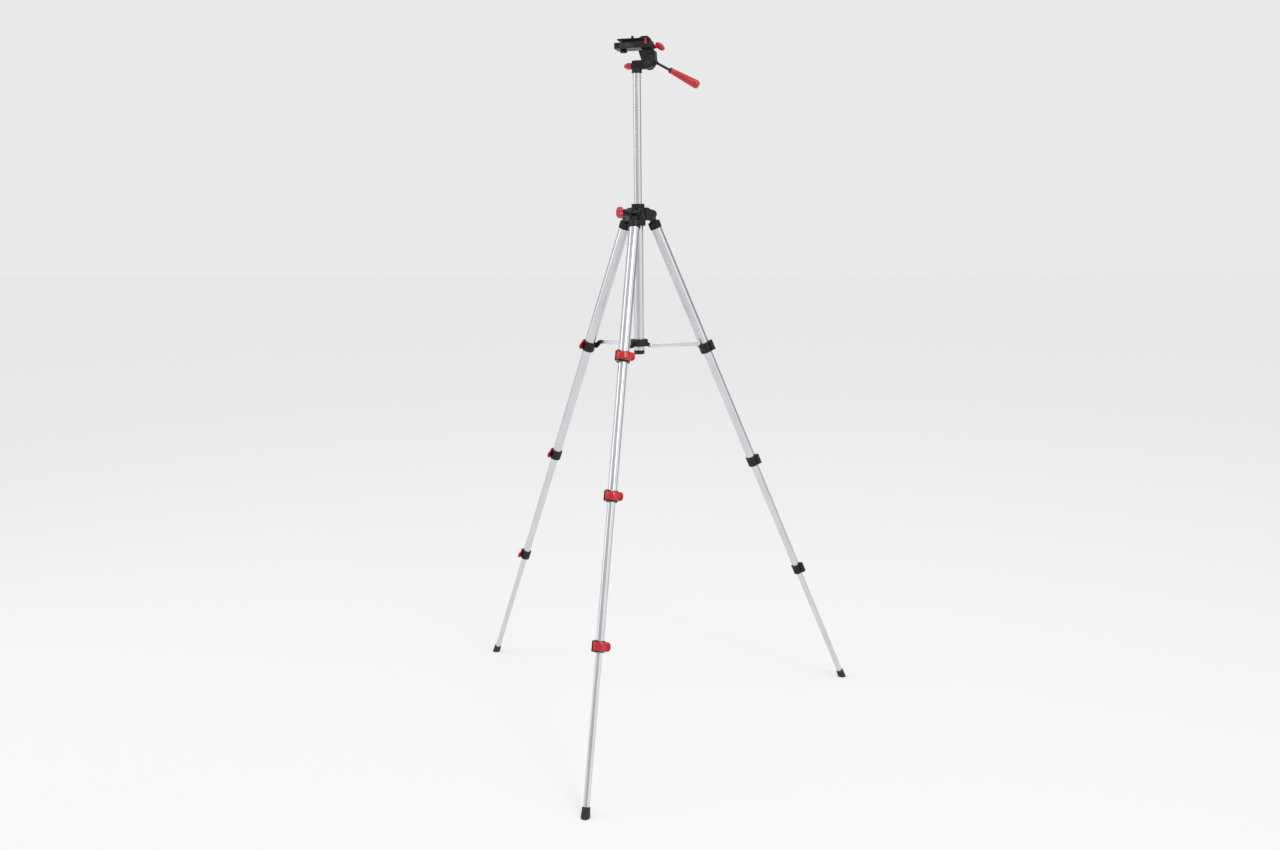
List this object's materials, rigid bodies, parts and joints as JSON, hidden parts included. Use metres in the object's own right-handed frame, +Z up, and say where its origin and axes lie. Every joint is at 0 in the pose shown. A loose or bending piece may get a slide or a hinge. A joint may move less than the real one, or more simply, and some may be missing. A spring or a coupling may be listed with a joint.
{
  "type": "laser level tripod",
  "caption": "Light aluminium tripod with telescoping flip-lock legs, spreader, sliding column and a pan and tilt head with quick-release plate.",
  "frame": {"origin": "on the floor under the centre column, level with the soles of the feet", "axes": "+Z up along the centre column, -X the way the head faces, leg 1 along -Y"},
  "size_m": [0.9284, 0.8064, 1.5095],
  "materials": {
    "satin_aluminium": "satin anodised",
    "black_plastic": "moulded, lightly textured",
    "red_plastic": "moulded gloss",
    "foot_rubber": "matte",
    "steel": "bright",
    "black_steel": "black oxide"
  },
  "bodies": {
    "frame": {"spider": "black_plastic", "leg_hinge_pins": "black_steel", "column_collar": "black_plastic", "guide_tube": "satin_aluminium", "guide_tube_cap": "black_plastic"},
    "leg_1_upper": {"leg_1_top_cap": "black_plastic", "leg_1_tube_1": "satin_aluminium", "leg_1_lock_1": "black_plastic"},
    "leg_1_second": {"leg_1_tube_2": "satin_aluminium", "leg_1_lock_2": "black_plastic"},
    "leg_1_third": {"leg_1_tube_3": "satin_aluminium", "leg_1_lock_3": "black_plastic"},
    "leg_1_bottom": {"leg_1_tube_4": "satin_aluminium", "leg_1_foot": "foot_rubber"},
    "leg_1_flip_1": {"leg_1_lever_1": "red_plastic"},
    "leg_1_flip_2": {"leg_1_lever_2": "red_plastic"},
    "leg_1_flip_3": {"leg_1_lever_3": "red_plastic"},
    "leg_1_spreader_bar": {"leg_1_brace": "satin_aluminium"},
    "leg_2_upper": {"leg_2_top_cap": "black_plastic", "leg_2_tube_1": "satin_aluminium", "leg_2_lock_1": "black_plastic"},
    "leg_2_second": {"leg_2_tube_2": "satin_aluminium", "leg_2_lock_2": "black_plastic"},
    "leg_2_third": {"leg_2_tube_3": "satin_aluminium", "leg_2_lock_3": "black_plastic"},
    "leg_2_bottom": {"leg_2_tube_4": "satin_aluminium", "leg_2_foot": "foot_rubber"},
    "leg_2_flip_1": {"leg_2_lever_1": "red_plastic"},
    "leg_2_flip_2": {"leg_2_lever_2": "red_plastic"},
    "leg_2_flip_3": {"leg_2_lever_3": "red_plastic"},
    "leg_2_spreader_bar": {"leg_2_brace": "satin_aluminium"},
    "leg_3_upper": {"leg_3_top_cap": "black_plastic", "leg_3_tube_1": "satin_aluminium", "leg_3_lock_1": "black_plastic"},
    "leg_3_second": {"leg_3_tube_2": "satin_aluminium", "leg_3_lock_2": "black_plastic"},
    "leg_3_third": {"leg_3_tube_3": "satin_aluminium", "leg_3_lock_3": "black_plastic"},
    "leg_3_bottom": {"leg_3_tube_4": "satin_aluminium", "leg_3_foot": "foot_rubber"},
    "leg_3_flip_1": {"leg_3_lever_1": "red_plastic"},
    "leg_3_flip_2": {"leg_3_lever_2": "red_plastic"},
    "leg_3_flip_3": {"leg_3_lever_3": "red_plastic"},
    "leg_3_spreader_bar": {"leg_3_brace": "satin_aluminium"},
    "spreader": {"spreader_hub": "black_plastic", "brace_pins": "steel"},
    "column": {"column_tube": "satin_aluminium"},
    "column_knob": {"column_lock_knob": "red_plastic"},
    "pan": {"pan_base": "black_plastic", "tilt_axle": "black_steel"},
    "pan_knob": {"pan_lock_knob": "red_plastic"},
    "tilt": {"tilt_body": "black_plastic"},
    "handle": {"handle_rod": "black_steel", "handle_grip": "red_plastic"},
    "platform_tray": {"platform": "black_plastic"},
    "side_knob": {"side_tilt_knob": "red_plastic"},
    "plate_latch": {"plate_lever": "red_plastic"},
    "clamp_knob": {"plate_clamp_knob": "black_plastic"},
    "plate": {"quick_release_plate": "black_plastic"},
    "screw": {"camera_screw": "black_steel"}
  },
  "joints": [
    {"name": "leg_1_fold", "type": "hinge", "parent": "frame", "child": "leg_1_upper", "pos_m": [0, -0.0318, 1.1283], "axis": [1, 0, 0], "range_deg": [0, 20.5]},
    {"name": "leg_1_extend_1", "type": "slide", "parent": "leg_1_upper", "child": "leg_1_second", "axis": [0, 0.4003, 0.9164], "range_m": [0, 0.26]},
    {"name": "leg_1_extend_2", "type": "slide", "parent": "leg_1_second", "child": "leg_1_third", "axis": [0, 0.4003, 0.9164], "range_m": [0, 0.272]},
    {"name": "leg_1_extend_3", "type": "slide", "parent": "leg_1_third", "child": "leg_1_bottom", "axis": [0, 0.4003, 0.9164], "range_m": [0, 0.284]},
    {"name": "leg_1_lever_1_open", "type": "hinge", "parent": "leg_1_upper", "child": "leg_1_flip_1", "pos_m": [-0.0089, -0.17224, 0.84536], "axis": [0, -0.4003, -0.9164], "range_deg": [0, 95]},
    {"name": "leg_1_lever_2_open", "type": "hinge", "parent": "leg_1_second", "child": "leg_1_flip_2", "pos_m": [-0.00805, -0.28947, 0.57334], "axis": [0, -0.4003, -0.9164], "range_deg": [0, 95]},
    {"name": "leg_1_lever_3_open", "type": "hinge", "parent": "leg_1_third", "child": "leg_1_flip_3", "pos_m": [-0.00725, -0.40823, 0.29806], "axis": [0, -0.4003, -0.9164], "range_deg": [0, 95]},
    {"name": "leg_2_fold", "type": "hinge", "parent": "frame", "child": "leg_2_upper", "pos_m": [0.02754, 0.0159, 1.1283], "axis": [-0.5, 0.866, 0], "range_deg": [0, 20.6]},
    {"name": "leg_2_extend_1", "type": "slide", "parent": "leg_2_upper", "child": "leg_2_second", "axis": [-0.3467, -0.2002, 0.9164], "range_m": [0, 0.26]},
    {"name": "leg_2_extend_2", "type": "slide", "parent": "leg_2_second", "child": "leg_2_third", "axis": [-0.3467, -0.2002, 0.9164], "range_m": [0, 0.272]},
    {"name": "leg_2_extend_3", "type": "slide", "parent": "leg_2_third", "child": "leg_2_bottom", "axis": [-0.3467, -0.2002, 0.9164], "range_m": [0, 0.284]},
    {"name": "leg_2_lever_1_open", "type": "hinge", "parent": "leg_2_upper", "child": "leg_2_flip_1", "pos_m": [0.15361, 0.07841, 0.84536], "axis": [0.3467, 0.2002, -0.9164], "range_deg": [0, 95]},
    {"name": "leg_2_lever_2_open", "type": "hinge", "parent": "leg_2_second", "child": "leg_2_flip_2", "pos_m": [0.25471, 0.13776, 0.57334], "axis": [0.3467, 0.2002, -0.9164], "range_deg": [0, 95]},
    {"name": "leg_2_lever_3_open", "type": "hinge", "parent": "leg_2_third", "child": "leg_2_flip_3", "pos_m": [0.35716, 0.19783, 0.29806], "axis": [0.3467, 0.2002, -0.9164], "range_deg": [0, 95]},
    {"name": "leg_3_fold", "type": "hinge", "parent": "frame", "child": "leg_3_upper", "pos_m": [-0.02754, 0.0159, 1.1283], "axis": [-0.5, -0.866, 0], "range_deg": [0, 20.6]},
    {"name": "leg_3_extend_1", "type": "slide", "parent": "leg_3_upper", "child": "leg_3_second", "axis": [0.3467, -0.2002, 0.9164], "range_m": [0, 0.26]},
    {"name": "leg_3_extend_2", "type": "slide", "parent": "leg_3_second", "child": "leg_3_third", "axis": [0.3467, -0.2002, 0.9164], "range_m": [0, 0.272]},
    {"name": "leg_3_extend_3", "type": "slide", "parent": "leg_3_third", "child": "leg_3_bottom", "axis": [0.3467, -0.2002, 0.9164], "range_m": [0, 0.284]},
    {"name": "leg_3_lever_1_open", "type": "hinge", "parent": "leg_3_upper", "child": "leg_3_flip_1", "pos_m": [-0.14471, 0.09383, 0.84536], "axis": [-0.3467, 0.2002, -0.9164], "range_deg": [0, 95]},
    {"name": "leg_3_lever_2_open", "type": "hinge", "parent": "leg_3_second", "child": "leg_3_flip_2", "pos_m": [-0.24666, 0.15171, 0.57334], "axis": [-0.3467, 0.2002, -0.9164], "range_deg": [0, 95]},
    {"name": "leg_3_lever_3_open", "type": "hinge", "parent": "leg_3_third", "child": "leg_3_flip_3", "pos_m": [-0.34991, 0.21039, 0.29806], "axis": [-0.3467, 0.2002, -0.9164], "range_deg": [0, 95]},
    {"name": "spreader_slide", "type": "slide", "parent": "frame", "child": "spreader", "axis": [0, 0, 1], "range_m": [0, 0.09447]},
    {"name": "leg_1_brace_swing", "type": "hinge", "parent": "spreader", "child": "leg_1_spreader_bar", "pos_m": [0, -0.022, 0.8485], "axis": [1, 0, 0], "range_deg": [0, 86.22]},
    {"name": "leg_2_brace_swing", "type": "hinge", "parent": "spreader", "child": "leg_2_spreader_bar", "pos_m": [0.01905, 0.011, 0.8485], "axis": [-0.5, 0.866, 0], "range_deg": [0, 86.22]},
    {"name": "leg_3_brace_swing", "type": "hinge", "parent": "spreader", "child": "leg_3_spreader_bar", "pos_m": [-0.01905, 0.011, 0.8485], "axis": [-0.5, -0.866, 0], "range_deg": [0, 86.22]},
    {"name": "column_lower", "type": "slide", "parent": "frame", "child": "column", "axis": [0, 0, -1], "range_m": [0, 0.27]},
    {"name": "column_knob_turn", "type": "hinge", "parent": "frame", "child": "column_knob", "pos_m": [0, 0, 1.14], "axis": [-0.866, -0.5, 0], "continuous": true},
    {"name": "pan", "type": "hinge", "parent": "column", "child": "pan", "pos_m": [0, 0, 1.4332], "axis": [0, 0, 1], "continuous": true},
    {"name": "pan_knob_turn", "type": "hinge", "parent": "pan", "child": "pan_knob", "pos_m": [-0.015, 0, 1.4477], "axis": [-1, 0, 0], "continuous": true},
    {"name": "tilt", "type": "hinge", "parent": "pan", "child": "tilt", "pos_m": [0.026, 0, 1.452], "axis": [0, -1, 0], "range_deg": [-65, 20]},
    {"name": "handle_twist", "type": "hinge", "parent": "tilt", "child": "handle", "pos_m": [0.0398, 0, 1.4544], "axis": [0.8746, 0, -0.4848], "continuous": true},
    {"name": "side_tilt", "type": "hinge", "parent": "tilt", "child": "platform_tray", "pos_m": [0.02, 0.013, 1.488], "axis": [-1, 0, 0], "range_deg": [0, 90]},
    {"name": "side_knob_turn", "type": "hinge", "parent": "tilt", "child": "side_knob", "pos_m": [0.045, 0.013, 1.488], "axis": [1, 0, 0], "continuous": true},
    {"name": "plate_lever_open", "type": "hinge", "parent": "platform_tray", "child": "plate_latch", "pos_m": [0.0245, -0.0228, 1.491], "axis": [0, -1, 0], "range_deg": [0, 90]},
    {"name": "clamp_knob_turn", "type": "hinge", "parent": "platform_tray", "child": "clamp_knob", "pos_m": [-0.0284, 0, 1.4785], "axis": [0, 0, 1], "continuous": true},
    {"name": "plate_lift", "type": "slide", "parent": "platform_tray", "child": "plate", "axis": [0, 0, 1], "range_m": [0, 0.03]},
    {"name": "camera_screw_turn", "type": "hinge", "parent": "plate", "child": "screw", "pos_m": [-0.009, 0, 1.5], "axis": [0, 0, 1], "continuous": true}
  ],
  "couplings": [
    {"joint": "leg_1_brace_swing", "follows": "leg_1_fold", "ratio": 4.1911},
    {"joint": "leg_2_brace_swing", "follows": "leg_1_fold", "ratio": 4.1911},
    {"joint": "leg_3_brace_swing", "follows": "leg_1_fold", "ratio": 4.1911},
    {"joint": "leg_2_fold", "follows": "leg_1_fold", "ratio": 1},
    {"joint": "leg_3_fold", "follows": "leg_1_fold", "ratio": 1},
    {"joint": "spreader_slide", "follows": "leg_1_fold", "m_per_rad": 0.26263}
  ]
}
